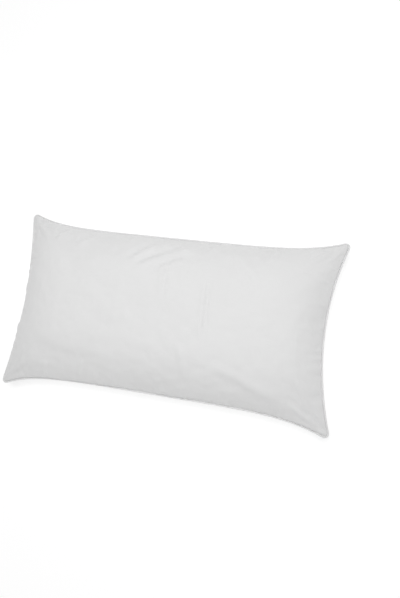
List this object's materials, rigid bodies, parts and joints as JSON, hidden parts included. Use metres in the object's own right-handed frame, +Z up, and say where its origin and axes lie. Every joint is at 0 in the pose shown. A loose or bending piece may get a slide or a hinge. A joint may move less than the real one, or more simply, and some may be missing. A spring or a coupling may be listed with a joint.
{
  "type": "bed pillow",
  "caption": "Long fibre-filled bed pillow lying flat, with a plain white ticking casing, piped seam, drawn-in edges and pointed corners.",
  "frame": {"origin": "on the surface that the pillow lies on, under the middle of its bounding box", "axes": "+X along the pillow's length, +Y across its width, +Z up through the crown; the stitched-shut opening is in the -X edge and the blank label in the +Y edge"},
  "size_m": [0.8906, 0.4884, 0.195],
  "materials": {
    "ticking": "close plain-woven cotton ticking, white, matte",
    "fill": "white polyester hollow-fibre fill, loose and fluffy",
    "piping": "white cotton bias strip, matte",
    "cord": "soft twisted cotton filler cord, undyed",
    "thread": "white spun polyester sewing thread",
    "label": "blank white satin ribbon"
  },
  "bodies": {
    "root": {"top_panel": "ticking", "bottom_panel": "ticking", "fibre_fill": "fill", "piping_strip": "piping", "piping_cord": "cord", "seam_thread": "thread", "overedge_thread": "thread", "closing_stitches": "thread", "closing_bar_tacks": "thread", "care_label": "label"}
  },
  "joints": []
}
